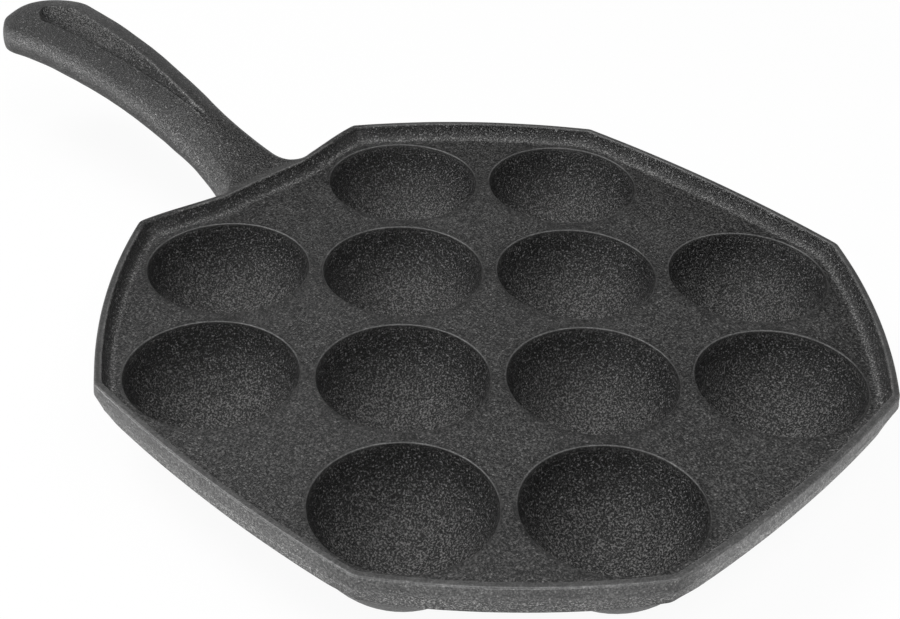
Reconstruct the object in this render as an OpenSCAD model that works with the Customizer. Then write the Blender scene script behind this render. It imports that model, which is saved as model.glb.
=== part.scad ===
// Takoyaki pan: one iron casting. An eight-sided floor holds rows of half-round wells inside a low rim,
// and a handle with a thumb groove rises from one of its sides.

/* [Wells] */
// Distance between the centres of neighbouring wells
well_pitch = 46; // [46:1:56]
// Diameter of a well at its mouth
well_d = 42; // [34:1:42]
// Depth of a well below the floor
well_depth = 20.5; // [16:0.5:22]
// Thickness of the bowl round a well
bowl_wall = 2.2; // [1.6:0.1:2.6]
// Metal ground off under each bowl to make its foot
foot_grind = 0.4; // [0.2:0.1:0.8]
// Small bevel round the mouth of a well
mouth_bevel = 0.5; // [0.3:0.1:0.9]

/* [Floor and rim] */
// Thickness of the floor between the wells
floor_t = 4.3; // [3:0.1:6]
// Height of the rim above the floor
rim_h = 4.2; // [3:0.1:8]
// Width of the rim's top
rim_w = 2.3; // [2:0.1:3.5]
// Radius of the rounded edges of the rim
rim_edge_r = 0.6; // [0.3:0.1:0.9]
// Radius of the cove from the floor up to the rim
cove_r = 3.6; // [2:0.1:4]
// Height of the mould's parting line above the floor
parting_h = 0.9; // [0.2:0.1:2]
// How far the wall leans in from the parting line to the top of the rim
top_lean = 0.3; // [0.1:0.1:0.8]
// How far the wall leans in from the parting line to its lower edge
bottom_lean = 1.2; // [0.4:0.1:2]

/* [Outline] */
// Metal from the outer wells' mouths to the middle of each side along the rows
side_margin = 8.2; // [7.5:0.1:14]
// Metal from the outer wells' mouths to the middle of each cut-off corner
corner_margin = 7.5; // [7.5:0.1:14]
// The same at the corner that carries the handle, if it bowed out like the others
handle_margin = 9.6; // [8:0.1:14]
// How far that side dips in at the handle
dip = 5.9; // [0:0.1:6.5]
// Half the width of the dip's flat bottom, behind the handle
dip_flat = 15; // [12:0.5:18]
// Length of plain side between the end of the dip and the corner
dip_rest = 0.2; // [0:0.1:4]
// Radius of the bow of the sides along the rows
side_bow_r = 190; // [160:5:400]
// Radius of the bow of the cut-off corners
corner_bow_r = 380; // [250:5:600]
// Radius of the floor's eight corners
floor_corner_r = 1; // [0.5:0.1:4]

/* [Handle] */
// Length of the handle beyond the side of the pan
handle_l = 113.8; // [100:1:160]
// Radius of the arch that the top of the handle follows
handle_arch_r = 210; // [190:5:400]
// Distance from the side of the pan to the crest of the arch
crest_dist = 82; // [70:1:90]
// Height of the crest above the floor
crest_h = 20; // [16:0.2:24]
// How softly the top of the rim turns up into the handle
rise_blend = 1.4; // [0.6:0.1:3]
// Width of the handle at its neck
neck_w = 19.6; // [17:0.2:24]
// Distance from the side of the pan to the neck
neck_dist = 26; // [20:1:32]
// Width of the handle near its end
grip_w = 30.4; // [26:0.2:34]
// Thickness of the handle at its edges
handle_t = 9.2; // [7:0.1:11]
// Thickness of the handle where it leaves the rim
root_t = 7.2; // [5:0.1:8]
// How much wider each side of the handle is at its root than at its neck
root_flare = 4; // [1:0.1:5]
// Radius of the fillet between handle and side
root_fillet_r = 4; // [2:0.5:8]
// How far the middle of the handle's top stands above its edges
crown_h = 2; // [1:0.1:3]

/* [Thumb groove] */
// Distance from the side of the pan to the narrow end of the groove
groove_start = 20; // [16:1:34]
// Distance from the end of the handle to the wide end of the groove
groove_end = 12; // [8:0.5:18]
// Width of the groove at its wide end
groove_w = 13; // [10:0.5:16]
// Depth of the groove at its wide end
groove_depth = 3.6; // [1.5:0.1:4]

/* [Hidden] */
$fn = 64;

iron = "#4a4a4a";
side_n = 8;
side_turn = 360 / side_n;
handle_side_n = 2;
well_n = 4;

// Outline: each side is an arc about a far centre, and the corners are small arcs between them
well_r = well_d / 2;
row_half = (well_n - 1) / 2 * well_pitch;
corner_row = (2 * row_half - well_pitch) / sqrt(2);
side_reach = row_half + well_r + side_margin;
corner_reach = corner_row + well_r + corner_margin;
handle_reach = corner_row + well_r + handle_margin;
handle_side_y = handle_reach - dip;
cove = min(cove_r, rim_h - rim_edge_r);
floor_inset = rim_w + cove;
outer_corner_r = floor_corner_r + floor_inset;
side_steps = 6;
handle_side_steps = 20;
corner_steps = 3;
edge_turns = [0 : 30 : 90];
cove_turns = [18 : 18 : 90];

// Wells and bowls share a centre, which sits above the floor where a well is shallower than half round
well_sphere_r = (well_r * well_r + well_depth * well_depth) / (2 * well_depth);
well_z = well_sphere_r - well_depth;
bowl_r = well_sphere_r + bowl_wall;
foot_z = well_z - bowl_r + foot_grind;
tool_clear = 1;

// Handle: it runs along +Y, and its top is one arc that starts at the inner edge of the rim
root_y = handle_side_y - rim_w;
root_start = 0.3;
root_sink = 0.3;
crest_y = handle_side_y + crest_dist;
neck_y = handle_side_y + neck_dist;
tip_y = handle_side_y + handle_l;
end_r = grip_w / 2;
end_y = tip_y - end_r;
widen_power = 1.4;
root_steps = 14;
shaft_steps = 22;
end_steps = 9;
end_angle = 84;
end_round_share = 0.5;
end_under_share = 0.1;
end_round_power = 4;
groove_rest = 1.4;
groove_easing = 26;
groove_floor_share = 0.3;

// Half section of the handle from its underside up to its top edge, as shares of half width and thickness
section = [
    [0.76, 0], [0.9, 0.05], [0.965, 0.2], [1, 0.42], [0.99, 0.62], [0.96, 0.8], [0.915, 0.93], [0.84, 1]];
crown_stations = [0.72, 0.5];
groove_clear = 1.2;

// The origin is at the middle of the whole pan's length, on the surface that its feet stand on
front_reach = corner_reach;
pan_y = (front_reach - tip_y) / 2;
pan_z = -foot_z;

function dir(a) = [cos(a), sin(a)];
function turned(v) = [-v[1], v[0]];
function angle_of(v) = atan2(v[1], v[0]);

function reach(i) = (i == handle_side_n) ? handle_reach : (i % 2 == 0) ? corner_reach : side_reach;
function bow_r(i) = (i % 2 == 0) ? corner_bow_r : side_bow_r;
function bow_c(i) = (reach(i) - bow_r(i)) * dir(i * side_turn);

// Outer point where two circles meet
function meet(c1, r1, c2, r2) =
    let (d = norm(c2 - c1), u = (c2 - c1) / d, a = (r1 * r1 - r2 * r2 + d * d) / (2 * d))
    c1 + a * u + sqrt(r1 * r1 - a * a) * turned(u);

function corner_c(i) =
    let (j = (i + 1) % side_n)
    meet(bow_c(i), bow_r(i) - outer_corner_r, bow_c(j), bow_r(j) - outer_corner_r);

function arc(c, r, a0, a1, steps) =
    let (turn = (a1 - a0 + 540) % 360 - 180)
    [for (k = [0 : steps - 1]) let (a = a0 + turn * k / steps) [c + r * dir(a), dir(a)]];

// The dip ends just short of the corners of its side
handle_bow_r = bow_r(handle_side_n);
dip_end = corner_c(handle_side_n - 1)[0] * handle_bow_r / (handle_bow_r - outer_corner_r) - dip_rest;

// How much of the dip is left at a distance x from the handle's middle, and how fast it changes there
function dip_turn(x) = 180 * min(1, max(0, (abs(x) - dip_flat) / (dip_end - dip_flat)));
function dip_at(x) = dip * (1 + cos(dip_turn(x))) / 2;
function dip_slope(x) = sign(x) * dip * sin(dip_turn(x)) * PI / (dip_end - dip_flat) / 2;
function unit(v) = v / norm(v);
function dipped(p) = [p[0] - [0, dip_at(p[0][0])], unit(p[1] - [dip_slope(p[0][0]) * p[1][1], 0])];

// The outline as points, each with the direction that faces out of the pan there
outline = [for (i = [0 : side_n - 1])
    let (j = (i + 1) % side_n, before = corner_c((i + side_n - 1) % side_n), after = corner_c(i))
    let (a0 = angle_of(before - bow_c(i)), a1 = angle_of(after - bow_c(i)), a2 = angle_of(after - bow_c(j)))
    let (steps = (i == handle_side_n) ? handle_side_steps : side_steps)
    let (side = arc(bow_c(i), bow_r(i), a0, a1, steps))
    each concat((i == handle_side_n) ? [for (p = side) dipped(p)] : side,
                arc(after, outer_corner_r, a1, a2, corner_steps))];

function ring(inset, z) = [for (p = outline) let (q = p[0] - inset * p[1]) [q[0], q[1], z]];

// Section of the wall, from its lower edge over the rim and down to the floor, as inset and height
wall_section = concat(
    [[bottom_lean + rim_edge_r, -floor_t], [bottom_lean, -floor_t + rim_edge_r], [0, parting_h]],
    [for (a = edge_turns) [top_lean + rim_edge_r * (1 - cos(a)), rim_h - rim_edge_r * (1 - sin(a))]],
    [for (a = edge_turns) [rim_w - rim_edge_r * (1 - sin(a)), rim_h - rim_edge_r * (1 - cos(a))]],
    [for (a = cove_turns) [rim_w + cove * (1 - cos(a)), cove * (1 - sin(a))]]);

function middle(ring) = [for (c = [0 : 2]) (min([for (p = ring) p[c]]) + max([for (p = ring) p[c]])) / 2];

// Skin over rings that all have the same number of points, closed by a fan about the middle of each end ring
module skin(rings) {
    n = len(rings[0]);
    m = len(rings);
    sides = [for (i = [0 : m - 2], k = [0 : n - 1])
        let (a = i * n + k, b = i * n + (k + 1) % n)
        each [[a, a + n, b], [b, a + n, b + n]]];
    low_cap = [for (k = [0 : n - 1]) [k, (k + 1) % n, m * n]];
    high_cap = [for (k = [0 : n - 1]) [(m - 1) * n + (k + 1) % n, (m - 1) * n + k, m * n + 1]];
    points = concat([for (r = rings) each r], [middle(rings[0]), middle(rings[m - 1])]);
    polyhedron(points = points, faces = concat(low_cap, sides, high_cap), convexity = 8);
}

// Height of the handle's top edge: the arch, which turns out of the rim's top at the root
function arch_z(y) = crest_h - handle_arch_r + sqrt(pow(handle_arch_r, 2) - pow(y - crest_y, 2));
function top_z(y) =
    let (rise = arch_z(y) - rim_h)
    rim_h - root_sink + (rise + sqrt(rise * rise + rise_blend * rise_blend)) / 2;

function fillet_flare(y) =
    let (d = min(root_fillet_r, max(0, handle_side_y + root_fillet_r - y)))
    root_fillet_r - sqrt(pow(root_fillet_r, 2) - d * d);
function neck_flare(y) = root_flare * pow(min(1, max(0, (neck_y - y) / neck_dist)), 2);
function grip_share(y) = max(0, (y - neck_y) / (end_y - neck_y));
function grip_widening(y) = (grip_w - neck_w) / 2 * pow(grip_share(y), widen_power);
function shaft_half(y) = neck_w / 2 + grip_widening(y) + neck_flare(y) + fillet_flare(y);
function neck_share(y) = min(1, (y - root_y) / (neck_y - root_y));
function shaft_t(y) = root_t + (handle_t - root_t) * neck_share(y);

// The groove widens from its narrow end, and both of its ends run out to the top of the handle
groove_y0 = handle_side_y + groove_start;
groove_y1 = tip_y - groove_end;
function groove_share(y) = min(1, max(0, (y - groove_y0) / (groove_y1 - groove_y0)));
function groove_end_share(y) = sqrt(min(1, max(0, (groove_y1 - y) / (groove_w / 2))));
function groove_half(y) = max(groove_rest, groove_w / 2 * groove_share(y) * groove_end_share(y));
function groove_sink(y) =
    groove_depth * min(1, max(0, (y - groove_y0) / groove_easing)) * groove_end_share(y);

// One ring of the handle: half width w, thickness t, and closed by a share shut where the end rounds off,
// most of it from above. Its top is flat at the root, where it meets the rim, and crowned from the neck on.
function handle_ring(y, w, t, shut) =
    let (top = top_z(y) - shut * t, bottom = top_z(y) - t * (1 - end_under_share * shut), h = top - bottom)
    let (crown = crown_h * neck_share(y) * (1 - 2 * shut), edge = section[len(section) - 1][0] * w)
    let (g = min(groove_half(y), crown_stations[1] * edge / groove_clear))
    let (low = [for (s = section) [s[0] * w, bottom + s[1] * h]])
    let (high = [for (x = concat(crown_stations * edge, [g])) [x, top + crown * (1 - pow(x / edge, 2))]])
    let (deep = [[groove_floor_share * g, high[2][1] - groove_sink(y)]])
    let (half = concat(low, high, deep), n = len(half))
    concat([for (p = half) [-p[0], y, p[1]]], [for (k = [n - 1 : -1 : 0]) [half[k][0], y, half[k][1]]]);

root_ys = [for (k = [0 : root_steps - 1])
    let (s = k / root_steps) root_y + root_start + (neck_y - root_y - root_start) * s];
shaft_ys = [for (k = [0 : shaft_steps - 1]) neck_y + (end_y - neck_y) * k / shaft_steps];
end_turns = [for (k = [0 : end_steps]) end_angle * k / end_steps];
function end_shut(a) = end_round_share * pow(sin(a), end_round_power);

module body() {
    color(iron) skin([for (s = wall_section) ring(s[0], s[1])]);
}

module handle() {
    rings = concat(
        [for (y = concat(root_ys, shaft_ys)) handle_ring(y, shaft_half(y), shaft_t(y), 0)],
        [for (a = end_turns) handle_ring(end_y + end_r * sin(a), end_r * cos(a), handle_t, end_shut(a))]);
    color(iron) skin(rings);
}

module each_well() {
    half = (well_n - 1) / 2;
    for (i = [-half : half], j = [-half : half])
        if (abs(i) + abs(j) < 2 * half) rotate(-side_turn) translate([i, j] * well_pitch) children();
}

module bowl() {
    color(iron) intersection() {
        translate([0, 0, well_z]) sphere(bowl_r);
        translate([0, 0, foot_z]) cylinder(h = -foot_z - floor_t / 2, r = bowl_r + tool_clear);
    }
}

module well() {
    bevel_h = 2 * mouth_bevel;
    translate([0, 0, well_z]) sphere(well_sphere_r);
    translate([0, 0, -mouth_bevel]) cylinder(h = bevel_h, r1 = well_r, r2 = well_r + bevel_h);
}

module pan() {
    translate([0, pan_y, pan_z]) difference() {
        union() {
            body();
            handle();
            each_well() bowl();
        }
        each_well() well();
    }
}

pan();
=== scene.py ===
import math
import bmesh
import bpy
import numpy as np
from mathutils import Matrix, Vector, noise
from mathutils.geometry import delaunay_2d_cdt


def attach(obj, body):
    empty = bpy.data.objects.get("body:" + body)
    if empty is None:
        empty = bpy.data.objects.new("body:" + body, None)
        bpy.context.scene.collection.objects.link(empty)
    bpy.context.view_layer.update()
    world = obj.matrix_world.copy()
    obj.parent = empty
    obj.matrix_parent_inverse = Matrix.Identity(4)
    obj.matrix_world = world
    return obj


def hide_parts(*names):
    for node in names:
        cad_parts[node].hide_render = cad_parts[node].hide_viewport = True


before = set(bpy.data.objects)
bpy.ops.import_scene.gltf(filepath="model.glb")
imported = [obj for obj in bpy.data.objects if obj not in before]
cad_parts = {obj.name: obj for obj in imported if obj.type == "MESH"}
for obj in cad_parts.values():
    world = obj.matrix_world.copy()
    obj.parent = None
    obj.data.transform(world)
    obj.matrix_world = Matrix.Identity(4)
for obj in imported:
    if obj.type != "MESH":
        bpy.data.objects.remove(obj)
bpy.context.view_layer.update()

scene = bpy.context.scene
mm = 0.001


# The casting. Lengths are in millimetres, about the middle of the well grid, with the floor at height 0.
panForm = {
    "middle": (0, -55, 22.3),        # where that point lies in the part's frame
    "wellPitch": 46, "wellRadius": 21, "wellDepth": 20.5, "mouthRound": 0.35, "lipWidth": 0.25,
    "bowlWall": 2.2, "footGrind": 0.4, "footEase": 0.012, "footEdges": [(0.1, 0.02), (0.35, 0)],
    "floorThick": 4.3, "underFillet": 2,
    "rimHeight": 4.2, "rimWidth": 2.3, "rimRound": 0.6, "rimFlat": 0.25,
    "cove": 3.6, "coveGap": 0.25, "coveBack": 1.5,
    "partingHeight": 0.9, "partingHalf": 0.08, "partingRidge": 0.1, "partingUnder": 0.12,
    "ridgeAbove": 0.4, "ridgeBelow": 0.45, "topLean": 0.3, "bottomLean": 1.2, "bottomRound": 0.9,
    "sideMargin": 8.2, "cornerMargin": 7.5, "handleMargin": 9.6, "sideBow": 190, "cornerBow": 380,
    "dip": 5.9, "dipFlat": 14, "dipRest": 0.4, "dipStraight": 0.7,
    "outerCorners": [3.2, 2.8, 2.8, 5.5, 6, 6, 5.5, 3.5],  # after each side, from +X round by +Y
    "innerCorner": 0.9, "cornerLean": 0.37, "cornerReach": 9, "lowCorner": 0.4, "lowReach": 7,
    # spacing of the mesh's points, and how many there are
    "outlineStep": 0.95, "closerSides": (2, 5), "closerShare": 0.75, "faultStep": 0.22, "faultSteps": 7,
    "leastStep": 0.13, "topGrid": 2.4, "underGrid": 3, "wellClear": 1,
    "filletRings": (0.45, 1), "ringsClear": (0.2, 0.5),
    "cornerTurns": 7, "roundSteps": 5, "wallSteps": 7, "coveSteps": 10,
    "wellTurns": 76, "mouthSteps": 6, "wellSteps": 27, "bowlTurns": 54, "bowlSteps": 16,
}

# The handle, measured from the same point
handleForm = {
    "length": 113.8, "archRadius": 210, "crestDist": 82, "crestHeight": 20, "riseBlend": 1.4, "rootSink": 0.3,
    "neckWidth": 19.6, "neckDist": 26, "gripWidth": 30.4, "widenPower": 1.4, "thick": 9.2, "rootThick": 7.2,
    "rootFlare": 4, "rootFillets": (2.4, 7), "crown": 2,
    "endRound": 0.5, "endUnder": 0.03, "endPower": 9, "endShy": 84,  # the end stays inside the solid's
    "grooveStart": 24, "grooveEnd": 12.5, "grooveWidth": 12.6, "grooveDepth": 3.5, "grooveRest": 0.9,
    "grooveEasing": 48, "groovePower": 0.75, "sinkPower": 0.8, "wallPower": 2.2, "grooveEdge": 1.12,
    "nearSharp": (1.6, 0.4),         # the near wall grows sharper with the groove's depth
    "grooveStations": (1.04, 0.98, 0.92, 0.84, 0.74, 0.62, 0.5, 0.38, 0.26, 0.13, 0),
    "flatUnder": 0.66,
    # half the section at the root, the crest and the tip, from the flat underside up to the top edge
    "sections": [
        [(0.76, 0), (0.9, 0.05), (0.965, 0.2), (1, 0.42),
         (0.985, 0.55), (0.93, 0.7), (0.82, 0.86), (0.66, 1)],
        [(0.76, 0), (0.9, 0.05), (0.965, 0.2), (1, 0.42),
         (0.99, 0.62), (0.955, 0.8), (0.9, 0.93), (0.81, 1)],
        [(0.86, 0), (0.96, 0.05), (0.99, 0.2), (1, 0.42),
         (0.99, 0.62), (0.96, 0.8), (0.915, 0.93), (0.84, 1)],
    ],
    "softUntil": 62, "softOver": 50, "bluntFrom": 6, "bluntOver": 14,
    # stations along it: the first, a close stretch, the rest, and the turns round the end
    "firstStation": 0.9, "closeLength": 12, "closeSteps": 24, "steps": 82,
    "endTurns": (0, 60, 86), "endSteps": 16,
}

# Small casting faults on the near side of the rim: side, distance along it, height, radius, depth
rimFaults = [
    (5, -7.4, 3.3, 0.55, 0.5), (5, 2.1, 3.35, 0.4, 0.35), (5, 16.8, 2.8, 0.4, 0.4),
    (5, -22.4, 3.9, 0.8, 0.35), (5, -29.4, -1.7, 0.5, 0.35), (5, -23.9, 1.8, 0.4, 0.3),
    (4, 37.6, 0.3, 0.45, 0.35), (5, -38.5, 1.2, 0.4, 0.3),
]

p = panForm
h = handleForm
rowHalf = 1.5 * p["wellPitch"]
cornerRow = (2 * rowHalf - p["wellPitch"]) / math.sqrt(2)
floorInset = p["rimWidth"] + p["cove"]
corners = p["outerCorners"]
sphereRadius = (p["wellRadius"] ** 2 + p["wellDepth"] ** 2) / (2 * p["wellDepth"])
sphereHeight = sphereRadius - p["wellDepth"]
bowlRadius = sphereRadius + p["bowlWall"]
footHeight = sphereHeight - bowlRadius + p["footGrind"]
mouthRadius = p["wellRadius"] + p["mouthRound"]
lipRadius = mouthRadius + p["lipWidth"]
gridRows = (-1.5, -0.5, 0.5, 1.5)
wells = [((i + j) / math.sqrt(2) * p["wellPitch"], (j - i) / math.sqrt(2) * p["wellPitch"])
         for i in gridRows for j in gridRows if abs(i) + abs(j) < 3]


def clamp(v, lo=0.0, hi=1.0):
    return min(hi, max(lo, v))


def ease(v):
    v = np.clip(v, 0, 1)
    return v * v * (3 - 2 * v)


def heading(deg):
    return np.array([math.cos(math.radians(deg)), math.sin(math.radians(deg))])


def angleOf(v):
    return math.degrees(math.atan2(v[1], v[0]))


def reachOf(i):
    if i == 2:
        return cornerRow + p["wellRadius"] + p["handleMargin"]
    if i % 2 == 0:
        return cornerRow + p["wellRadius"] + p["cornerMargin"]
    return rowHalf + p["wellRadius"] + p["sideMargin"]


def bowOf(i):
    return p["cornerBow"] if i % 2 == 0 else p["sideBow"]


def bowCentre(i):
    return (reachOf(i) - bowOf(i)) * heading(45 * i)


def cornerCentre(i):
    j = (i + 1) % 8
    c1, r1, c2, r2 = bowCentre(i), bowOf(i) - corners[i], bowCentre(j), bowOf(j) - corners[i]
    d = np.linalg.norm(c2 - c1)
    u = (c2 - c1) / d
    a = (r1 * r1 - r2 * r2 + d * d) / (2 * d)
    return c1 + a * u + math.sqrt(r1 * r1 - a * a) * np.array([-u[1], u[0]])


dipEnd = cornerCentre(1)[0] * bowOf(2) / (bowOf(2) - corners[1]) - p["dipRest"]
handleSideY = reachOf(2) - p["dip"]


def dipped(point, out):
    share = clamp((abs(point[0]) - p["dipFlat"]) / (dipEnd - p["dipFlat"]))
    curved, straight = (1 + math.cos(math.pi * share)) / 2, 1 - share
    down = curved + (straight - curved) * p["dipStraight"]
    steep = math.pi / 2 * math.sin(math.pi * share)
    steep += ((1 if 0 < share < 1 else 0) - steep) * p["dipStraight"]
    slope = math.copysign(1, point[0]) * p["dip"] * steep / (dipEnd - p["dipFlat"])
    normal = out - np.array([slope * out[1], 0])
    return point - np.array([0, p["dip"] * down]), normal / np.linalg.norm(normal)


def outline():
    # Points round the rim and the way out at each; then the way that deeper rings step in, the depth down to
    # which their corners stay round, and how near a corner is
    points, outs, ins, sinks, lows = [], [], [], [], []
    for i in range(8):
        before, after, centre, bow = (i + 7) % 8, (i + 1) % 8, bowCentre(i), bowOf(i)
        a0 = angleOf(cornerCentre(before) - centre)
        a1 = angleOf(cornerCentre(i) - centre)
        a2 = angleOf(cornerCentre(i) - bowCentre(after))
        turn = (a1 - a0 + 540) % 360 - 180
        length = bow * math.radians(turn)
        step = p["outlineStep"] * (p["closerShare"] if i in p["closerSides"] else 1)
        shares = set(np.linspace(0, 1, int(length / step), endpoint=False).round(5))
        for side, along, *_ in rimFaults:  # closer points where a fault lies
            if side == i:
                middle = math.degrees(math.asin(along / bow)) + 45 * i - a0
                share = ((middle + 540) % 360 - 180) / turn
                steps = range(-p["faultSteps"], p["faultSteps"] + 1)
                shares |= {round(share + k * p["faultStep"] / length, 5) for k in steps}
        least, last = p["leastStep"] / length, -1
        for s in sorted(shares):
            if s < 0 or s - last < least or 1 - s < least:
                continue
            last = s
            out = heading(a0 + turn * s)
            point = centre + bow * out
            if i == 2:
                point, out = dipped(point, out)
            points.append(point)
            outs.append(out)
            ahead = np.array([-out[1], out[0]])
            fromLow, fromHigh = s * length, (1 - s) * length
            lean = ease(1 - fromHigh / p["cornerReach"]) - ease(1 - fromLow / p["cornerReach"])
            ins.append(out + p["cornerLean"] * ahead * lean)
            sinks.append(corners[before if s < 0.5 else i] - p["innerCorner"])
            lows.append(ease(1 - min(fromLow, fromHigh) / p["lowReach"]))
        turn = (a2 - a1 + 540) % 360 - 180
        for k in range(p["cornerTurns"]):
            out = heading(a1 + turn * k / p["cornerTurns"])
            points.append(cornerCentre(i) + corners[i] * out)
            outs.append(out)
            ins.append(heading(a1 + turn / 2) / math.cos(math.radians(turn / 2)))
            sinks.append(corners[i] - p["innerCorner"])
            lows.append(1)
    return [np.array(v) for v in (points, outs, ins, sinks, lows)]


rimPoints, rimOuts, rimIns, cornerSink, cornerNear = outline()
rimCount = len(rimPoints)


def ringAt(inset):
    # The outline set in by a distance; its corners stay round to the least radius
    plain = np.minimum(inset, cornerSink)
    return rimPoints - plain[:, None] * rimOuts - (inset - plain)[:, None] * rimIns


# Where a well's mouth reaches the foot of the cove, the cove stands back a little
footRing = ringAt(floorInset)
standBack = np.zeros(rimCount)
for w in wells:
    gap = np.linalg.norm(footRing - np.array(w), axis=1)
    standBack = np.maximum(standBack, lipRadius + p["coveGap"] - gap)
standBack = np.clip(standBack, 0, p["coveBack"])


def archHeight(y):
    crest = handleSideY + h["crestDist"]
    return h["crestHeight"] - h["archRadius"] + math.sqrt(h["archRadius"] ** 2 - (y - crest) ** 2)


def handleTop(y):
    rise = archHeight(y) - p["rimHeight"]
    return p["rimHeight"] - h["rootSink"] + (rise + math.sqrt(rise * rise + h["riseBlend"] ** 2)) / 2


def handleTopAt(ys):
    inside = np.clip(ys, rootY, tipY)
    return np.array([handleTop(y) for y in inside])


neckY = handleSideY + h["neckDist"]
tipY = handleSideY + h["length"]
endRadius = h["gripWidth"] / 2
endY = tipY - endRadius
rootY = handleSideY - p["rimWidth"]


def handleHalf(y, side):
    fillet = h["rootFillets"][side]
    widening = max(0, (y - neckY) / (endY - neckY)) ** h["widenPower"]
    half = h["neckWidth"] / 2 + (h["gripWidth"] - h["neckWidth"]) / 2 * widening
    half += h["rootFlare"] * clamp((neckY - y) / h["neckDist"]) ** 2
    d = clamp(handleSideY + fillet - y, 0, fillet)
    return half + fillet - math.sqrt(fillet ** 2 - d * d)


grooveY0 = handleSideY + h["grooveStart"]
grooveY1 = tipY - h["grooveEnd"]


def grooveEndShare(y):
    return math.sqrt(clamp((grooveY1 - y) / (h["grooveWidth"] / 2)))


def grooveHalf(y):
    share = clamp((y - grooveY0) / (grooveY1 - grooveY0)) ** h["groovePower"]
    return max(h["grooveRest"], h["grooveWidth"] / 2 * share * grooveEndShare(y))


def neckShare(y):
    return clamp((y - rootY) / (neckY - rootY))


def handleThick(y):
    return h["rootThick"] + (h["thick"] - h["rootThick"]) * neckShare(y)


def quarter(count):
    return np.linspace(0, math.pi / 2, count)


def wallSection():
    # Inset and height of each ring, from the underside's edge up the wall, over the rim and down the cove
    f, n, m, r = p, p["roundSteps"], p["wallSteps"], p["rimRound"]
    s = [(f["bottomLean"] + f["bottomRound"] * (1 - math.sin(a)),
          -f["floorThick"] + f["bottomRound"] * (1 - math.cos(a))) for a in quarter(n)]
    low = -f["floorThick"] + f["bottomRound"]
    s += [(f["bottomLean"] * (1 - k) + f["partingUnder"] * k,
           low + (f["partingHeight"] - f["ridgeBelow"] - low) * k) for k in np.linspace(0, 1, m)[1:]]
    s += [(0, f["partingHeight"] - f["partingHalf"]), (0, f["partingHeight"] + f["partingHalf"])]
    high = f["rimHeight"] - r
    s += [(f["partingRidge"] + (f["topLean"] - f["partingRidge"]) * k,
           f["partingHeight"] + f["ridgeAbove"] + (high - f["partingHeight"] - f["ridgeAbove"]) * k)
          for k in np.linspace(0, 1, m)]
    s += [(f["topLean"] + r * (1 - math.cos(a)), high + r * math.sin(a)) for a in quarter(n + 1)[1:]]
    s += [(f["rimWidth"] - r - f["rimFlat"], f["rimHeight"])]
    s += [(f["rimWidth"] - r * (1 - math.sin(a)), f["rimHeight"] - r * (1 - math.cos(a)))
          for a in quarter(n + 1)]
    s += [(f["rimWidth"] + f["cove"] * (1 - math.cos(a)), f["cove"] * (1 - math.sin(a)))
          for a in quarter(f["coveSteps"])[1:]]
    return s


def triangulate(loops, inner, keep):
    # Fills a flat region between loops of points, with further points inside it
    coords, edges = [], []
    for loop in loops:
        start = len(coords)
        coords += [Vector(q) for q in loop]
        edges += [(start + k, start + (k + 1) % len(loop)) for k in range(len(loop))]
    coords += [Vector(q) for q in inner]
    points, _, faces, _, _, _ = delaunay_2d_cdt(coords, edges, [], 0, 1e-5)
    if len(points) != len(coords):
        print("loops cross:", len(points) - len(coords), "points added")
    middles = [sum((points[k] for k in f), Vector((0, 0))) / len(f) for f in faces]
    inside = keep(np.array(middles))
    return points, [f for f, good in zip(faces, inside) if good]


def insidePolygon(points, ring):
    x, y = points[:, 0:1], points[:, 1:2]
    a, b = ring, np.roll(ring, -1, axis=0)
    across = (a[:, 1] > y) != (b[:, 1] > y)
    with np.errstate(divide="ignore", invalid="ignore"):
        cut = (b[:, 0] - a[:, 0]) * (y - a[:, 1]) / (b[:, 1] - a[:, 1]) + a[:, 0]
    return (across & (x < cut)).sum(axis=1) % 2 == 1


def fromWells(points):
    # How far each point lies from the middle of its nearest well
    return np.min([np.linalg.norm(points - np.array(w), axis=1) for w in wells], axis=0)


def outsideWells(ring, radius):
    # A test for points inside a ring and outside the wells' circles
    def keep(points):
        return insidePolygon(points, ring) & (fromWells(points) > radius * 0.999)
    return keep


def dotGrid(step, ring, clear):
    # Points at even spacing inside a ring, half a step clear of it, and clear of the wells
    reach, rowShare = 100, 0.866
    rows, xs = range(int(2 * reach / step / rowShare)), np.arange(-reach, reach, step)
    grid = np.array([(x + (k % 2) * step / 2, k * step * rowShare - reach) for k in rows for x in xs])
    grid = grid[insidePolygon(grid, ring)]
    grid = grid[fromWells(grid) > clear]
    gap = np.array([np.linalg.norm(ring - g, axis=1).min() for g in grid])
    return grid[gap > step / 2]


def circle(middle, radius, count):
    turns = np.linspace(0, 2 * math.pi, count, endpoint=False)
    return [(middle[0] + radius * math.cos(t), middle[1] + radius * math.sin(t)) for t in turns]


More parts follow.
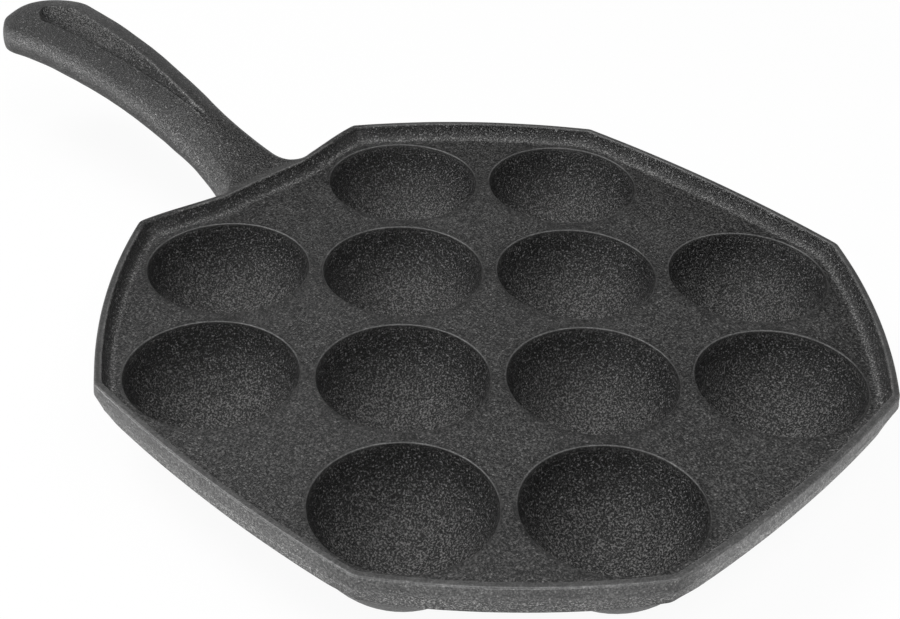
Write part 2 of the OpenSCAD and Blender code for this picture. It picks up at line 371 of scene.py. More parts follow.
class Sheet:  # gathers points and faces, then makes them one mesh
    def __init__(self):
        self.points, self.faces = [], []

    def add(self, points):
        start = len(self.points)
        self.points += [tuple(q) for q in points]
        return list(range(start, len(self.points)))

    def circle(self, middle, radius, z, count):
        return self.add([(x, y, z) for x, y in circle(middle, radius, count)])

    def band(self, low, high):
        n = len(low)
        self.faces += [(low[k], low[(k + 1) % n], high[(k + 1) % n], high[k]) for k in range(n)]

    def fan(self, ring, middle, flip=False):
        c = self.add([middle])[0]
        n = len(ring)
        for k in range(n):
            a, b = ring[k], ring[(k + 1) % n]
            self.faces.append((b, a, c) if flip else (a, b, c))

    def flat(self, loops, inner, heightAt, keep, flip):
        points, faces = triangulate([[self.points[k][:2] for k in loop] for loop in loops], inner, keep)
        known = [k for loop in loops for k in loop]
        fresh = self.add([(q[0], q[1], heightAt(q[0], q[1])) for q in points[len(known):]])
        index = known + fresh
        self.faces += [tuple(index[k] for k in (f[::-1] if flip else f)) for f in faces]

    def mesh(self, name):
        data = bpy.data.meshes.new(name)
        middle = np.array(p["middle"])
        data.from_pydata([tuple((np.array(q) + middle) * mm) for q in self.points], [], self.faces)
        data.validate()
        return data


def rimRings(sheet):
    rings = []
    section = wallSection()
    coveStart = len(section) - p["coveSteps"]
    for n, (inset, z) in enumerate(section):
        back = standBack * ease((n - coveStart) / (p["coveSteps"] - 1))
        low = p["lowCorner"] * cornerNear * clamp((p["partingHeight"] - z) / p["floorThick"])
        ring = ringAt(inset - back + low)
        rings.append(sheet.add(np.column_stack([ring, np.full(rimCount, float(z))])))
    for low, high in zip(rings, rings[1:]):
        sheet.band(low, high)
    return rings


def wellRings(sheet):
    r = p["mouthRound"]
    start = math.asin((sphereHeight + r) / sphereRadius)
    profile = [(lipRadius, 0)]
    profile += [(mouthRadius + r * math.cos(a), -r + r * math.sin(a))
                for a in np.linspace(math.pi / 2, math.pi, p["mouthSteps"])]
    profile += [(sphereRadius * math.cos(a), sphereHeight - sphereRadius * math.sin(a))
                for a in np.linspace(start, math.pi / 2, p["wellSteps"])[1:-1]]
    loops = []
    for w in wells:
        rings = [sheet.circle(w, d, z, p["wellTurns"]) for d, z in profile]
        for low, high in zip(rings, rings[1:]):
            sheet.band(high, low)
        sheet.fan(rings[-1], (*w, sphereHeight - sphereRadius))
        loops.append(rings[0])
    return loops


# The bowls run into the underside with a fillet: where it leaves the bowl, and where it meets the floor
filletDrop = sphereHeight + p["floorThick"] + p["underFillet"]
flareRadius = math.sqrt((bowlRadius + p["underFillet"]) ** 2 - filletDrop ** 2)
joinRadius = flareRadius * bowlRadius / (bowlRadius + p["underFillet"])


def bowlRings(sheet):
    start = math.asin(filletDrop / (bowlRadius + p["underFillet"]))
    stop = math.asin((sphereHeight - footHeight) / bowlRadius)
    foot = bowlRadius * math.cos(stop)
    profile = [(bowlRadius * math.cos(a), sphereHeight - bowlRadius * math.sin(a))
               for a in np.linspace(start, stop - p["footEase"], p["bowlSteps"])]
    profile += [(foot - inward, footHeight + up) for inward, up in p["footEdges"]] + [(foot / 2, footHeight)]
    loops = []
    for w in wells:
        rings = [sheet.circle(w, d, z, p["bowlTurns"]) for d, z in profile]
        for low, high in zip(rings, rings[1:]):
            sheet.band(low, high)
        sheet.fan(rings[-1], (*w, footHeight))
        loops.append(rings[0])
    return loops


def floorHeight(x, y):
    return 0


def underHeight(x, y):
    z, f = -p["floorThick"], p["underFillet"]
    for cx, cy in wells:
        r = math.hypot(x - cx, y - cy)
        if r < flareRadius:
            z -= f - math.sqrt(max(0, f * f - (flareRadius - r) ** 2))
    return z


def trayMesh():
    sheet = Sheet()
    rings = rimRings(sheet)
    outer, inner = [np.array([sheet.points[k][:2] for k in ring]) for ring in (rings[0], rings[-1])]
    mouths = wellRings(sheet)
    dots = dotGrid(p["topGrid"], inner, lipRadius + p["wellClear"])
    sheet.flat([rings[-1]] + mouths, dots, floorHeight, outsideWells(inner, lipRadius), flip=False)
    bowls = bowlRings(sheet)
    extra = []
    for w in wells:  # rings of points on the fillets
        for d in (*(joinRadius + out for out in p["filletRings"]), flareRadius):
            extra += circle(w, d, p["bowlTurns"])
    extra = np.array(extra)
    wellGap, edgeGap = p["ringsClear"]
    extra = extra[(fromWells(extra) > joinRadius + wellGap) & insidePolygon(extra, outer)]
    gap = np.array([np.linalg.norm(outer - g, axis=1).min() for g in extra])
    extra = extra[gap > edgeGap]
    dots = np.concatenate([dotGrid(p["underGrid"], outer, flareRadius + p["wellClear"]), extra])
    sheet.flat([rings[0]] + bowls, dots, underHeight, outsideWells(outer, joinRadius), flip=True)
    return sheet.mesh("tray")


def sectionAt(y):
    root, crest, tip = [np.array(s) for s in h["sections"]]
    soft = ease((handleSideY + h["softUntil"] - y) / h["softOver"])
    blunt = ease((y - endY + h["bluntFrom"]) / h["bluntOver"])
    return crest + (root - crest) * soft + (tip - crest) * blunt


def sideCurve(section):
    # A smooth curve through the section's points, steered by one more point beyond each end
    s = np.array([(0.5, 0)] + section.tolist() + [(section[-1][0] - 0.05, 1.02)])
    out = []
    for k in range(1, len(s) - 2):
        a, b, c, d = s[k - 1], s[k], s[k + 1], s[k + 2]
        for t in np.linspace(0, 1, 4, endpoint=False):
            bend, twist = 2 * a - 5 * b + 4 * c - d, 3 * b - a - 3 * c + d
            out.append(0.5 * (2 * b + (c - a) * t + bend * t * t + twist * t ** 3))
    return out + [s[-2]]


def handleRing(y, lowX, highX, thick, shut):
    # One closed section: half widths towards -X and +X, and how far the end has closed in height
    top, bottom = handleTop(y) - shut * thick, handleTop(y) - thick * (1 - h["endUnder"] * shut)
    curve = sideCurve(sectionAt(y))
    edge = curve[-1][0]
    crown = h["crown"] * neckShare(y) * (1 - 2 * shut)
    depth = clamp((y - grooveY0) / h["grooveEasing"])
    g = min(grooveHalf(y), edge * lowX / 2)
    sink = h["grooveDepth"] * depth ** h["sinkPower"] * grooveEndShare(y)

    def crownAt(x, w):
        return top + crown * (1 - (x / (edge * w)) ** 2)

    def half(w):
        under = [(x * w, bottom) for x in np.linspace(0, h["flatUnder"], 5)]
        side = [(x * w, bottom + z * (top - bottom)) for x, z in curve]
        return under + side + [(x, crownAt(x, w)) for x in np.linspace(edge * w, g * h["grooveEdge"], 9)[1:]]

    near, far = [], []
    rate, start = h["nearSharp"]
    for s in h["grooveStations"]:
        soft = math.cos(math.pi / 2 * min(1, s)) ** 2
        sharp = 1 - min(1, s) ** h["wallPower"]
        nearWall = soft + (sharp - soft) * ease(rate * depth - start)
        near.append((-s * g, crownAt(s * g, lowX) - sink * nearWall))
        far.append((s * g, crownAt(s * g, highX) - sink * sharp))
    right = half(highX) + far
    left = [(-x, z) for x, z in half(lowX)[1:]] + near[:-1]
    return [(x, y, z) for x, z in right + left[::-1]]


def handleMesh():
    sheet = Sheet()
    rings = []
    first = rootY + h["firstStation"]
    close = first + h["closeLength"]
    stations = [*np.linspace(first, close, h["closeSteps"], endpoint=False),
                *np.linspace(close, endY, h["steps"], endpoint=False)]
    for y in stations:
        rings.append(sheet.add(handleRing(y, handleHalf(y, 0), handleHalf(y, 1), handleThick(y), 0)))
    start, bend, stop = h["endTurns"]
    turns = np.radians([*np.linspace(start, bend, h["endSteps"], endpoint=False),
                        *np.linspace(bend, stop, h["endSteps"])])
    for a in turns:
        out = math.sin(a) / math.sin(turns[-1]) * math.sin(math.radians(h["endShy"]))
        half = endRadius * math.cos(a)
        shut = h["endRound"] * math.sin(a) ** h["endPower"]
        rings.append(sheet.add(handleRing(endY + endRadius * out, half, half, h["thick"], shut)))
    for low, high in zip(rings, rings[1:]):
        sheet.band(high, low)
    for ends, flip in ((rings[0], False), (rings[-1], True)):
        middle = np.mean([sheet.points[k] for k in ends], axis=0)
        sheet.fan(ends, middle, flip)
    return sheet.mesh("handle")


def joinCasting():
    tray = bpy.data.objects.new("panCasting", trayMesh())
    handle = bpy.data.objects.new("handle", handleMesh())
    for o in (tray, handle):
        scene.collection.objects.link(o)
        b = bmesh.new()
        b.from_mesh(o.data)
        bmesh.ops.recalc_face_normals(b, faces=b.faces)
        openEdges = sum(1 for e in b.edges if len(e.link_faces) != 2)
        volume = round(b.calc_volume() / mm ** 3)
        print(o.name, len(b.verts), "points,", openEdges, "open edges, volume", volume, "mm3")
        b.to_mesh(o.data)
        b.free()
    cut = tray.modifiers.new("join", "BOOLEAN")
    cut.operation, cut.object, cut.solver = "UNION", handle, "MANIFOLD"
    joined = bpy.data.meshes.new_from_object(tray.evaluated_get(bpy.context.evaluated_depsgraph_get()))
    tray.modifiers.clear()
    tray.data = joined
    bpy.data.objects.remove(handle)
    return tray


# The soft fillet worked into the seam between the handle and the rim, in millimetres
seamForm = {
    "startShare": 0.45, "beyond": 9, "halfWidth": 24,  # where the seam is looked for
    "crease": 0.3, "reach": 3.2, "passes": 14, "rounds": 26, "pull": 0.55, "fadeFrom": 0.3, "fadeOver": 1.2,
}


def roundSeam(obj):
    s = seamForm
    b = bmesh.new()
    b.from_mesh(obj.data)
    b.verts.ensure_lookup_table()
    middle = Vector(p["middle"]) * mm
    low, high = (rootY + p["rimWidth"] * s["startShare"]) * mm, (handleSideY + s["beyond"]) * mm
    seam = set()
    for e in b.edges:
        q = (e.verts[0].co + e.verts[1].co) / 2 - middle
        if low < q.y < high and abs(q.x) < s["halfWidth"] * mm and len(e.link_faces) == 2:
            if e.calc_face_angle_signed(0) < -s["crease"]:
                seam |= set(e.verts)
    edge = list(seam)
    reach = {v: 0.0 for v in seam}
    for _ in range(s["passes"]):
        fresh = []
        for v in edge:
            for e in v.link_edges:
                o = e.other_vert(v)
                d = reach[v] + e.calc_length() / mm
                if d < reach.get(o, s["reach"]):
                    reach[o] = d
                    fresh.append(o)
        edge = fresh
    weight = {}
    for v, d in reach.items():
        along = (v.co - middle).y / mm - rootY
        weight[v] = ease(1 - d / s["reach"]) * ease((along - s["fadeFrom"]) / s["fadeOver"])
    for _ in range(s["rounds"]):
        moved = {}
        for v, share in weight.items():
            if share > 0.01:
                near = [e.other_vert(v).co for e in v.link_edges]
                moved[v] = v.co.lerp(sum(near, Vector()) / len(near), s["pull"] * share)
        for v, co in moved.items():
            v.co = co
    print("seam:", len(seam), "points, rounded over", len(reach))
    b.to_mesh(obj.data)
    b.free()


# The slight unevenness of a sand casting: waves per millimetre, and how deep they press in
unevenForm = {
    "waves": (0.09, 0.21), "second": 0.5, "onPan": 0.05, "onHandle": 0.2,
    "faultPower": 4, "aboveFeet": 1, "rootFade": (3, 10), "tipFade": 4,
}


def roughen(obj):
    # Casting faults and unevenness, pressed inwards only
    u = unevenForm
    data = obj.data
    n = len(data.vertices)
    co = np.zeros(n * 3)
    data.vertices.foreach_get("co", co)
    co = co.reshape(-1, 3) / mm - np.array(p["middle"])
    normal = np.array([v.normal[:] for v in data.vertices])
    for side, along, height, radius, depth in rimFaults:
        out = heading(45 * side)
        bow = bowOf(side)
        flat = bowCentre(side) + bow * heading(45 * side + math.degrees(math.asin(along / bow)))
        d = np.linalg.norm(co - np.array([flat[0], flat[1], height]), axis=1)
        dent = np.exp(-(d / radius) ** u["faultPower"])[:, None] * depth * out[None, :]
        co -= np.column_stack([dent, np.zeros(n)])
    first, second = u["waves"]
    wave = np.array([noise.noise(Vector(q) * first) for q in co])
    wave += u["second"] * np.array([noise.noise(Vector(q) * second) for q in co])
    start, over = u["rootFade"]
    onHandle = ease((co[:, 1] - handleSideY - start) / over)
    atTip = ease((tipY - co[:, 1]) / u["tipFade"])
    depth = (0.5 + 0.5 * wave) * (u["onPan"] + u["onHandle"] * onHandle) * atTip
    co -= normal * (depth * (co[:, 2] > footHeight + u["aboveFeet"]))[:, None]
    data.vertices.foreach_set("co", ((co + np.array(p["middle"])) * mm).ravel())
    data.update()
    return co


def softNormals(obj):
    # Wide faces weigh more, so the flat floor shades flat up to its rounded edges
    data = obj.data
    b = bmesh.new()
    b.from_mesh(data)
    bmesh.ops.triangulate(b, faces=b.faces)
    b.to_mesh(data)
    b.free()
    data.shade_smooth()
    n = len(data.vertices)
    co = np.zeros(n * 3)
    data.vertices.foreach_get("co", co)
    co = co.reshape(-1, 3)
    tri = np.zeros(len(data.polygons) * 3, dtype=int)
    data.polygons.foreach_get("vertices", tri)
    tri = tri.reshape(-1, 3)
    across = np.cross(co[tri[:, 1]] - co[tri[:, 0]], co[tri[:, 2]] - co[tri[:, 0]])
    total = np.zeros((n, 3))
    for k in range(3):
        np.add.at(total, tri[:, k], across)
    total /= np.maximum(np.linalg.norm(total, axis=1), 1e-20)[:, None]
    data.normals_split_custom_set_from_vertices(total.tolist())
    print("casting:", len(tri), "triangles")


casting = joinCasting()
roundSeam(casting)
places = roughen(casting)
softNormals(casting)
print("casting made")


# Shader sums: a Wire is one output socket, and an expression on it adds Math nodes
class Wire:
    def __init__(self, tree, socket=None):
        self.tree, self.socket = tree, socket

    def node(self, kind, settings=None, sockets=None, out=0):
        n = self.tree.nodes.new(kind)
        for name, value in (settings or {}).items():
            setattr(n, name, value)
        for name, value in (sockets or {}).items():
            if isinstance(value, Wire):
                self.tree.links.new(value.socket, n.inputs[name])
            elif value is not None:
                n.inputs[name].default_value = value
        return Wire(self.tree, n.outputs[out]) if n.outputs else None

    def also(self, name):
        # another output of the same node
        return Wire(self.tree, self.socket.node.outputs[name])

    def sum(self, operation, a, b=None, limit=False):
        return self.node("ShaderNodeMath", {"operation": operation, "use_clamp": limit}, {0: a, 1: b})

    def __add__(self, other):
        return self.sum("ADD", self, other)

    def __sub__(self, other):
        return self.sum("SUBTRACT", self, other)

    def __rsub__(self, other):
        return self.sum("SUBTRACT", other, self)

    def __mul__(self, other):
        return self.sum("MULTIPLY", self, other)

    def __truediv__(self, other):
        return self.sum("DIVIDE", self, other)

    def __pow__(self, other):
        return self.sum("POWER", self, other)

    __radd__, __rmul__ = __add__, __mul__

    def limited(self):
        return self.sum("ADD", self, 0, limit=True)

    def between(self, lo, hi):
        return ((self - lo) / (hi - lo)).limited()

    def blend(self, a, b):
        # this value as the share of b over a, for colours
        return self.node("ShaderNodeMix", {"data_type": "RGBA"}, {0: self, 6: a, 7: b}, out=2)


# Sizes are in millimetres, and each tone runs from 0, the dark colour, to 1, the pale one
ironLook = {
    "darkIron": (0.006, 0.006, 0.006, 1), "paleIron": (0.175, 0.173, 0.17, 1),
    # the paler pair stands in for light: painted light and, in places, wear
    "paintedLightDark": (0.085, 0.085, 0.085, 1), "paintedLightPale": (0.5, 0.496, 0.488, 1),
    # the dark of oil and of painted shade, with painted glints on its pale grain
    "oilAndShadeColour": (0.006, 0.006, 0.006, 1), "paintedGlint": (0.26, 0.26, 0.26, 1), "glintFrom": 0.5,
    # the speck tone paints a few sand grains bright, as painted glints
    "tone": 0.1, "contrast": 7.5, "glintSpeckTone": 3.4, "speckRarity": 3, "cloudTone": 0.15,
    "grainSize": 0.45, "grainDetail": (4, 0.65), "grainDepth": 0.5,
    "speckSize": 0.75, "speckWidth": 0.42, "speckSlope": 2.4, "speckDepth": 0.16,
    "coarseSize": 3.5, "coarseDepth": 0.08, "coarseRest": 0.25, "coarseGrain": 0.5, "cloudSize": 14,
    "blotchSize": 1.5, "blotchTone": 1.6, "smoothBlotch": 0.2,
    "roughness": 0.385, "coarseRough": 0.14, "cloudRough": 0.1,
}


def ironMaterial():
    look = ironLook
    mat = bpy.data.materials.new("castIron")
    mat.use_nodes = True
    tree = mat.node_tree
    tree.nodes.clear()
    w = Wire(tree)
    local = w.node("ShaderNodeTexCoord", out=3)
    place = w.node("ShaderNodeVectorMath", {"operation": "SCALE"}, {0: local, "Scale": 1 / mm})

    def noiseAt(size, detail=2, rough=0.5):
        return w.node("ShaderNodeTexNoise", {"noise_dimensions": "3D"}, {
            "Vector": place, "Scale": 1 / size, "Detail": detail, "Roughness": rough}) - 0.5

    def share(name):
        return w.node("ShaderNodeAttribute", {"attribute_type": "GEOMETRY", "attribute_name": name}, out=2)

    grain, paintedLightAndWear, oilAndShade = share("grain"), share("paintedLightAndWear"), share("oilAndShade")
    fine = noiseAt(look["grainSize"], *look["grainDetail"])
    coarse = noiseAt(look["coarseSize"])
    cloud = noiseAt(look["cloudSize"])
    # sand grains: round bumps, a few of them painted bright as glints
    cells = w.node("ShaderNodeTexVoronoi", None, {"Vector": place, "Scale": 1 / look["speckSize"]})
    chance = w.node("ShaderNodeSeparateXYZ", None, {0: cells.also("Color")}, out=0)
    bead = ((look["speckWidth"] - cells) * look["speckSlope"]).limited()
    paintedGlintSpeck = bead * chance ** look["speckRarity"]
    height = fine * grain * look["grainDepth"] + bead * grain * look["speckDepth"]
    height = height + coarse * look["coarseDepth"] * (look["coarseRest"] + look["coarseGrain"] * grain)
    bump = w.node("ShaderNodeBump", None, {"Strength": 1, "Distance": mm, "Height": height})
    blotch = noiseAt(look["blotchSize"], 3) * paintedLightAndWear * (look["smoothBlotch"] + grain) * look["blotchTone"]
    tone = look["tone"] + grain * (look["contrast"] * fine + look["glintSpeckTone"] * paintedGlintSpeck)
    # painted glints: where the iron is dark, its paler grain peaks are painted bright
    glint = (tone - look["glintFrom"]).limited()
    tone = (tone + look["cloudTone"] * cloud + blotch).limited()
    plain = tone.blend(look["darkIron"], look["paleIron"])
    # where painted light (partly wear) lies, the iron takes the paler colours
    bare = paintedLightAndWear.blend(plain, tone.blend(look["paintedLightDark"], look["paintedLightPale"]))
    # oil and painted shade darken it, with painted glints where its grain is pale
    colour = oilAndShade.blend(bare, glint.blend(look["oilAndShadeColour"], look["paintedGlint"]))
    rough = look["roughness"] + look["coarseRough"] * coarse + look["cloudRough"] * cloud
    shader = w.node("ShaderNodeBsdfPrincipled", None, {
        "Base Color": colour, "Roughness": rough, "Normal": bump, "IOR": 1.5, "Specular IOR Level": 0.5})
    w.node("ShaderNodeOutputMaterial", None, {"Surface": shader})
    return mat


# Shares of rough grain, of paler iron that paints light (and in places wear), and of dark colour for oil and
# painted shade at each point, and where they fade, in
# millimetres: along the handle from the rim, down from its top, in from the outline, or in height
ironZones = {
    "floorGrain": 0.4, "edgeGrain": 0.1,
    "topGrain": 0.6, "rootGrain": 0.45, "sideGrain": 0.42, "topOil": 0.68, "rootOil": 0.15,
    "sideOil": 0.4, "sidePaintedLight": 0.09, "handleFrom": (1, 6), "outward": (12, 45), "topDown": (1, 3),
    "streakWaves": (1.3, 0.05), "streakOil": 1.6, "highlightStreak": 0.5,
    "lowSide": (4.4, 6.2), "highlightBand": (3.2, 2.2),
    "grooveGrain": 1.0, "grooveShade": 0.85, "farWallLight": 0.05, "grooveLineHighlight": 1.0,
    "grooveSides": (-1.02, -0.94), "farWall": (-0.1, 0.4), "farWallDepth": (0.55, 1), "grooveMargin": 3,
    "farLine": 0.6, "farLineFade": 0.6, "nearLine": 0.4, "nearLineShare": 0.4, "grooveDrops": (4, 2),
    "coveGrain": 0.9, "backCoveShade": 0.8, "frontCoveLight": 0.6, "backFootHighlight": 0.22, "footHeights": (0.03, 0.15, 0.5, 0.8),
    "coveHeights": (0.6, 1.2), "rimTopLight": 0.3, "rimLineHighlight": 0.8, "rimLine": (0.45, 0.4),
    "outerLineWearAndHighlight": 0.9, "outerLine": (0.3, 0.3), "backSide": (-0.6, -0.2), "frontSide": (0.3, 0.7),
    "wallGrain": 0.2, "lowWallGrain": 0.7, "wallInset": (1.2, 2), "wallBelow": (0.2, 0.8),
    "underBelow": (3.2, 4), "wallTurn": 7,
    # painted light on each side of the wall, stronger where more light falls
    "wallLight": [0.6, 0.5, 0.5, 0.5, 0.45, 0.23, 1.0, 0.6],  # the sides in turn, from +X round by +Y
    # painted shade high on the wells' walls, from under the lip to mid-depth
    "wellShade": 0.85, "wellShadeDown": (0.8, 3), "wellShadeOut": (5, 15),
    # a painted highlight runs along each well's lip on the side this heading points to
    "mouthHighlight": 1.0, "mouthLine": (0.12, 0.3), "mouthLitSide": 50,  # the way from a well to its pale edge
}


def ramp(v, lo, hi):
    return np.clip((v - lo) / (hi - lo), 0, 1)


def line(v, middle, half):
    # 1 at the middle, 0 from half its width out
    return np.clip(1 - np.abs(v - middle) / half, 0, 1)


def insetOf(co):
    # How far each point lies inside the rim's outline, and how far its side faces the corner at +X and +Y
    best = np.full(len(co), 1e9)
    near = np.zeros(len(co), dtype=int)
    for k in range(rimCount):
        d = (co[:, 0] - rimPoints[k][0]) ** 2 + (co[:, 1] - rimPoints[k][1]) ** 2
        near = np.where(d < best, k, near)
        best = np.minimum(best, d)
    return ((rimPoints[near] - co[:, :2]) * rimOuts[near]).sum(axis=1), rimOuts[near] @ heading(45)


def markHandle(co, grain):
    # The top is oiled and the lower half of the side streaked, with a painted highlight band above the
    # streaks; the groove is darkened with painted shade, with painted light on its far wall and edges
    z = ironZones
    across, along, height = co.T
    past = along - handleSideY
    onHandle = ramp(past, *z["handleFrom"])
    outward = ramp(past, *z["outward"])
    drop = handleTopAt(along) - height
    top = 1 - ramp(drop, *z["topDown"])
    topGrain = z["rootGrain"] + (z["topGrain"] - z["rootGrain"]) * outward
    grain = grain + (z["sideGrain"] + (topGrain - z["sideGrain"]) * top - grain) * onHandle
    down, out = z["streakWaves"]
    streak = np.array([noise.noise(Vector((d * down, y * out, 3))) for d, y in zip(drop, along)])
    low = ramp(drop + z["streakOil"] * streak, *z["lowSide"])
    topOil = z["rootOil"] + (z["topOil"] - z["rootOil"]) * outward
    oilAndShade = np.maximum(topOil * top, z["sideOil"] * low) * onHandle
    # a band of painted highlight along the upper side, broken by the streaks
    paintedLightAndWear = z["sidePaintedLight"] * outward * line(drop + z["highlightStreak"] * streak, *z["highlightBand"])

    # s runs across the groove, from -1 at its near edge to 1 at its far edge
    half = np.array([grooveHalf(y) for y in np.clip(along, grooveY0, grooveY1)])
    start = grooveY0 - z["grooveMargin"]
    most, lineMost = z["grooveDrops"]
    s = np.where((along > start) & (along < grooveY1) & (drop < most), across / half, 9)
    depth = ramp(along, grooveY0, grooveY0 + h["grooveEasing"])
    inGroove = ramp(-np.abs(s), *z["grooveSides"])
    # painted light on the groove's far wall, painted shade over the rest of the groove
    farWall = ramp(s, *z["farWall"]) * inGroove * ramp(depth, *z["farWallDepth"])
    grain += (z["grooveGrain"] - grain) * inGroove
    oilAndShade += (z["grooveShade"] - oilAndShade) * inGroove * (1 - farWall)
    oilAndShade *= 1 - farWall
    paintedLightAndWear += (z["farWallLight"] - paintedLightAndWear) * farWall
    # painted highlight lines along the groove's far edge and, fainter, its near edge
    lines = line(s * half, half, z["farLine"]) * (1 - z["farLineFade"] * depth)
    lines += z["nearLineShare"] * line(s * half, -half, z["nearLine"]) * (np.abs(s) < 2)
    lines = np.clip(lines, 0, 1) * (drop < lineMost) * ramp(along, start, grooveY0 + z["grooveMargin"])
    paintedLightAndWear = np.maximum(paintedLightAndWear, z["grooveLineHighlight"] * lines)
    oilAndShade *= 1 - lines
    return onHandle, grain, paintedLightAndWear, oilAndShade


def markRim(co, inset, away, broken, grain, paintedLightAndWear, oilAndShade):
    # The rim's top, painted lighter in front, with painted highlight lines, and the cove inside it: painted
    # shade at the back, painted light in front
    z = ironZones
    along, height = co[:, 1], co[:, 2]
    width = p["rimWidth"]
    far = ramp(away, *z["backSide"])
    near = ramp(-away, *z["frontSide"])
    onTop = (height > -0.2) * (1 - ramp(along - handleSideY, -0.4, 0.6))
    inside = ramp(inset, width - 0.3, width - 0.05) * onTop
    cove = inside * ramp(height, *z["coveHeights"])
    a, b, c, d = z["footHeights"]
    foot = inside * ramp(height, a, b) * (1 - ramp(height, c, d))
    rim = (1 - ramp(inset, width - 0.3, width)) * onTop
    rim *= ramp(height, p["rimHeight"] - 0.8, p["rimHeight"] - 0.3)
    grain += (z["edgeGrain"] - grain) * rim
    grain += (z["coveGrain"] - grain) * np.maximum(cove, foot)
    # painted shade in the cove at the back
    oilAndShade += (z["backCoveShade"] * far - oilAndShade) * cove
    # painted light on the rim's top, stronger in front; a painted highlight at the cove's foot at the back;
    # painted light in the cove in front
    rimTopLight = z["rimTopLight"] * rim * (1.6 - 0.6 * far)
    paintedLightAndWear = np.maximum(paintedLightAndWear, rimTopLight + z["backFootHighlight"] * foot * far + z["frontCoveLight"] * cove * (1 - far))
    # a painted highlight line along the rim's inner edge at the back
    back, half = z["rimLine"]
    paintedLightAndWear = np.maximum(paintedLightAndWear, z["rimLineHighlight"] * line(inset, width - back, half) * onTop * far)
    # a broken pale line along the rim's outer edge in front, partly wear and partly painted highlight
    back, half = z["outerLine"]
    outer = line(inset, p["topLean"] + back, half) * onTop * near
    return grain, np.maximum(paintedLightAndWear, z["outerLineWearAndHighlight"] * outer * ramp(broken, -0.2, 0.2)), oilAndShade


def markWall(co, inset, deep, onHandle, grain, paintedLightAndWear, oilAndShade):
    # The tray's wall from just under the rim's top to its underside, each side painted lighter or darker for
    # the light it gets
    z = ironZones
    across, along, height = co.T
    onPan = 1 - onHandle
    wall = (1 - ramp(inset, *z["wallInset"])) * ramp(p["rimHeight"] - height, *z["wallBelow"]) * onPan
    under = ramp(-height, *z["underBelow"]) * (deep > sphereRadius + 1) * onPan
    grain += (z["wallGrain"] - grain) * wall
    oilAndShade *= 1 - wall
    grain += (z["lowWallGrain"] - grain) * wall * ramp(p["partingHeight"] - height, 0, 0.4)
    grain += (z["wallGrain"] - grain) * under
    around = np.degrees(np.arctan2(along, across)) / 45 % 8
    share = ease((around % 1 - 0.5) * z["wallTurn"] + 0.5)
    sidePaintedLight = np.array(z["wallLight"] * 2)
    here = around.astype(int)
    sidePaintedLight = sidePaintedLight[here] + (sidePaintedLight[here + 1] - sidePaintedLight[here]) * share
    return grain, np.maximum(paintedLightAndWear, sidePaintedLight * np.maximum(wall, under)), oilAndShade


def markWells(co, deep, broken, grain, paintedLightAndWear, oilAndShade):
    # Rough wells with smooth lips, painted shade high on their walls, and a painted highlight along each lip
    # on the side towards +X and +Y
    z = ironZones
    height = co[:, 2]
    middles = np.array(wells)
    flats = np.array([np.hypot(co[:, 0] - cx, co[:, 1] - cy) for cx, cy in wells])
    flat = flats.min(axis=0)
    inWell = (deep < sphereRadius + 0.5) & (flat < mouthRadius + 0.1) & (height < 0.05)
    sunk = ramp(-height, p["mouthRound"], p["mouthRound"] + 1)
    grain = np.where(inWell, z["edgeGrain"] + (1 - z["edgeGrain"]) * sunk, grain)
    lip = ramp(flat, mouthRadius, mouthRadius + 0.5)
    grain = np.where(inWell | (height < -0.05), grain, z["edgeGrain"] + (grain - z["edgeGrain"]) * lip)
    # painted highlight along each lip on the side towards +X and +Y, broken in places
    aside = (co[:, :2] - middles[flats.argmin(axis=0)]) @ heading(z["mouthLitSide"]) / np.maximum(flat, 1)
    farLipHighlight = z["mouthHighlight"] * (0.15 + 0.85 * ramp(aside, 0, 0.6)) * (0.6 + 0.4 * ramp(broken, -0.3, 0.3))
    back, half = z["mouthLine"]
    paintedLightAndWear = np.maximum(paintedLightAndWear, farLipHighlight * line(flat, mouthRadius - back, half) * (np.abs(height + 0.15) < 0.3))
    # painted shade high on the walls, from under the lip to mid-depth
    wellShade = z["wellShade"] * ramp(-height, *z["wellShadeDown"]) * (1 - ramp(-height, *z["wellShadeOut"]))
    return grain, paintedLightAndWear, np.where(inWell, wellShade, oilAndShade)


def markZones(obj, co):
    inset, away = insetOf(co)
    deep = np.min([np.linalg.norm(co - np.array([*w, sphereHeight]), axis=1) for w in wells], axis=0)
    broken = np.array([noise.noise(Vector(q) * 0.6) for q in co])
    onHandle, grain, paintedLightAndWear, oilAndShade = markHandle(co, np.full(len(co), ironZones["floorGrain"]))
    grain, paintedLightAndWear, oilAndShade = markRim(co, inset, away, broken, grain, paintedLightAndWear, oilAndShade)
    grain, paintedLightAndWear, oilAndShade = markWall(co, inset, deep, onHandle, grain, paintedLightAndWear, oilAndShade)
    grain, paintedLightAndWear, oilAndShade = markWells(co, deep, broken, grain, paintedLightAndWear, oilAndShade)
    for name, values in (("grain", grain), ("paintedLightAndWear", paintedLightAndWear), ("oilAndShade", oilAndShade)):
        layer = obj.data.attributes.new(name, "FLOAT", "POINT")
        layer.data.foreach_set("value", values.astype(np.float32))


markZones(casting, places)
casting.data.materials.clear()
casting.data.materials.append(ironMaterial())
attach(casting, "root")
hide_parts("pan")
print("iron finish made")


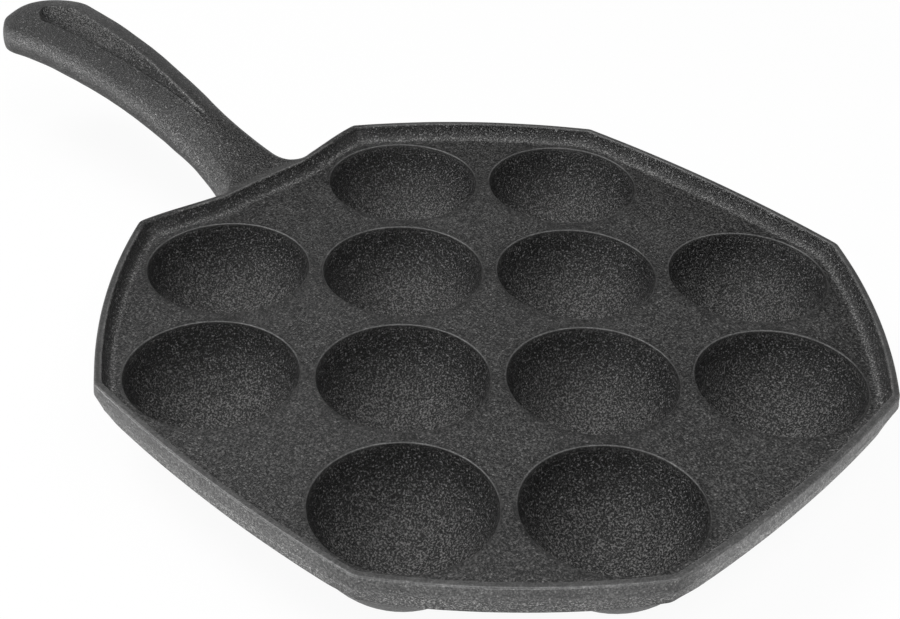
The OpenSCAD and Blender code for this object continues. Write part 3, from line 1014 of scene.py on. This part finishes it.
# The studio
studio = {
    "white": (1, 1, 1, 1), "floorGrey": (0.9, 0.9, 0.9, 1), "floorRadius": 3, "floorShown": 0.94,
    "skyStrength": 0.06, "horizonBand": (0.2, 0.4), "aroundStrength": 0.57,
    "target": (0, -0.03, 0.02), "distance": 1.1,
    "boxes": [  # name, heading and height of the box in degrees, width, height, power
        ("lowBackLeft", 135, 0.6, 0.6, 0.06, 4.7), ("lowLeft", 180, 0.6, 0.6, 0.06, 3.3),
        ("lowFront", 225, 0.6, 0.6, 0.06, 4.8), ("lowRight", 270, 0.6, 0.6, 0.06, 1.3),
        ("left", 135, 30, 0.55, 0.55, 1.0), ("highBack", 120, 60, 0.55, 0.55, 7.3),
        ("highLeft", 180, 60, 0.55, 0.55, 0.7), ("highFront", 240, 60, 0.55, 0.55, 4.1),
        ("highRight", 300, 60, 0.55, 0.55, 2.2),
    ],
}


def seenBy(w, *rays):
    # 1 for the named kinds of ray, 0 for all other light
    path = w.node("ShaderNodeLightPath").socket.node.outputs
    seen = [Wire(w.tree, path["Is " + kind + " Ray"]) for kind in rays]
    return sum(seen[1:], seen[0]).limited()


def makeFloor():
    data = bpy.data.meshes.new("studioFloor")
    b = bmesh.new()
    bmesh.ops.create_circle(b, cap_ends=True, segments=64, radius=studio["floorRadius"])
    b.to_mesh(data)
    b.free()
    floor = bpy.data.objects.new("studioFloor", data)
    scene.collection.objects.link(floor)
    mat = bpy.data.materials.new("paperWhite")
    mat.use_nodes = True
    mat.node_tree.nodes.clear()
    w = Wire(mat.node_tree)
    lit = w.node("ShaderNodeBsdfDiffuse", None, {"Color": studio["floorGrey"]})
    around = studio["aroundStrength"]
    strength = around + seenBy(w, "Camera") * (1 - around)
    glow = w.node("ShaderNodeEmission", None, {"Color": studio["white"], "Strength": strength})
    shown = seenBy(w, "Camera", "Glossy", "Transmission") * studio["floorShown"]
    both = w.node("ShaderNodeMixShader", None, {0: shown, 1: lit, 2: glow})
    w.node("ShaderNodeOutputMaterial", None, {"Surface": both})
    data.materials.append(mat)


def makeWorld():
    # Pale round the horizon and below, dim above, and plain white where the camera looks past the floor
    world = bpy.data.worlds.new("studioWorld")
    scene.world = world
    world.use_nodes = True
    world.node_tree.nodes.clear()
    w = Wire(world.node_tree)
    ray = w.node("ShaderNodeTexCoord", out=0)
    height = w.node("ShaderNodeSeparateXYZ", None, {0: ray}, out=2)
    high = height.between(*studio["horizonBand"])
    band = (1 - high * (1 - studio["skyStrength"])) * studio["aroundStrength"]
    seen = seenBy(w, "Camera")
    strength = band + seen * (1 - band)
    both = w.node("ShaderNodeBackground", None, {"Color": studio["white"], "Strength": strength})
    w.node("ShaderNodeOutputWorld", None, {"Surface": both})


def makeLights():
    target = Vector(studio["target"])
    for name, turn, tilt, width, height, power in studio["boxes"]:
        a, e = math.radians(turn), math.radians(tilt)
        way = Vector((math.cos(e) * math.cos(a), math.cos(e) * math.sin(a), math.sin(e)))
        place = target + studio["distance"] * way
        data = bpy.data.lights.new(name, "AREA")
        data.shape, data.size, data.size_y, data.energy = "RECTANGLE", width, height, power
        lamp = bpy.data.objects.new(name, data)
        scene.collection.objects.link(lamp)
        lamp.location = place
        lamp.rotation_euler = (target - place).to_track_quat("-Z", "Y").to_euler()


cameraView = {
    "place": (-0.25005701, -0.26524789, 0.25567054), "turn": (54.77703, -2.20955, -46.40401),
    "lens": 63.347, "sensor": 36, "clip": (0.01, 20),
}


def makeCamera():
    data = bpy.data.cameras.new("camera")
    data.lens, data.sensor_width, data.sensor_fit = cameraView["lens"], cameraView["sensor"], "HORIZONTAL"
    data.clip_start, data.clip_end = cameraView["clip"]
    camera = bpy.data.objects.new("camera", data)
    scene.collection.objects.link(camera)
    camera.location = cameraView["place"]
    camera.rotation_euler = [math.radians(a) for a in cameraView["turn"]]
    scene.camera = camera


makeFloor()
makeWorld()
makeLights()
makeCamera()
scene.view_settings.view_transform = "Standard"
print("studio made")
